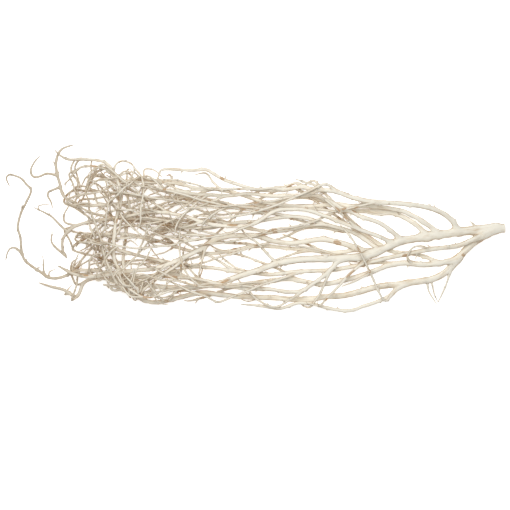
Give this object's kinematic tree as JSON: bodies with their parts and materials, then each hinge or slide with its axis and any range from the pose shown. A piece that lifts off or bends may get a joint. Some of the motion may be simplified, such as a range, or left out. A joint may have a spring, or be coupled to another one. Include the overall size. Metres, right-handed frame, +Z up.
{
  "type": "bleached dried branch",
  "caption": "Bleached dried branch with a cut butt, long forking stems and a tangle of thin twigs, lying on a surface as natural decoration.",
  "frame": {"origin": "on the surface that the branch lies on, under the middle of its box", "axes": "+X along the branch from its twig tips to its cut butt, +Y across it, +Z up"},
  "size_m": [1.0024, 0.335, 0.1237],
  "materials": {
    "bleached_wood": "matte, bleached, with fine grain"
  },
  "bodies": {
    "root": {"branch": "bleached_wood"}
  },
  "joints": []
}
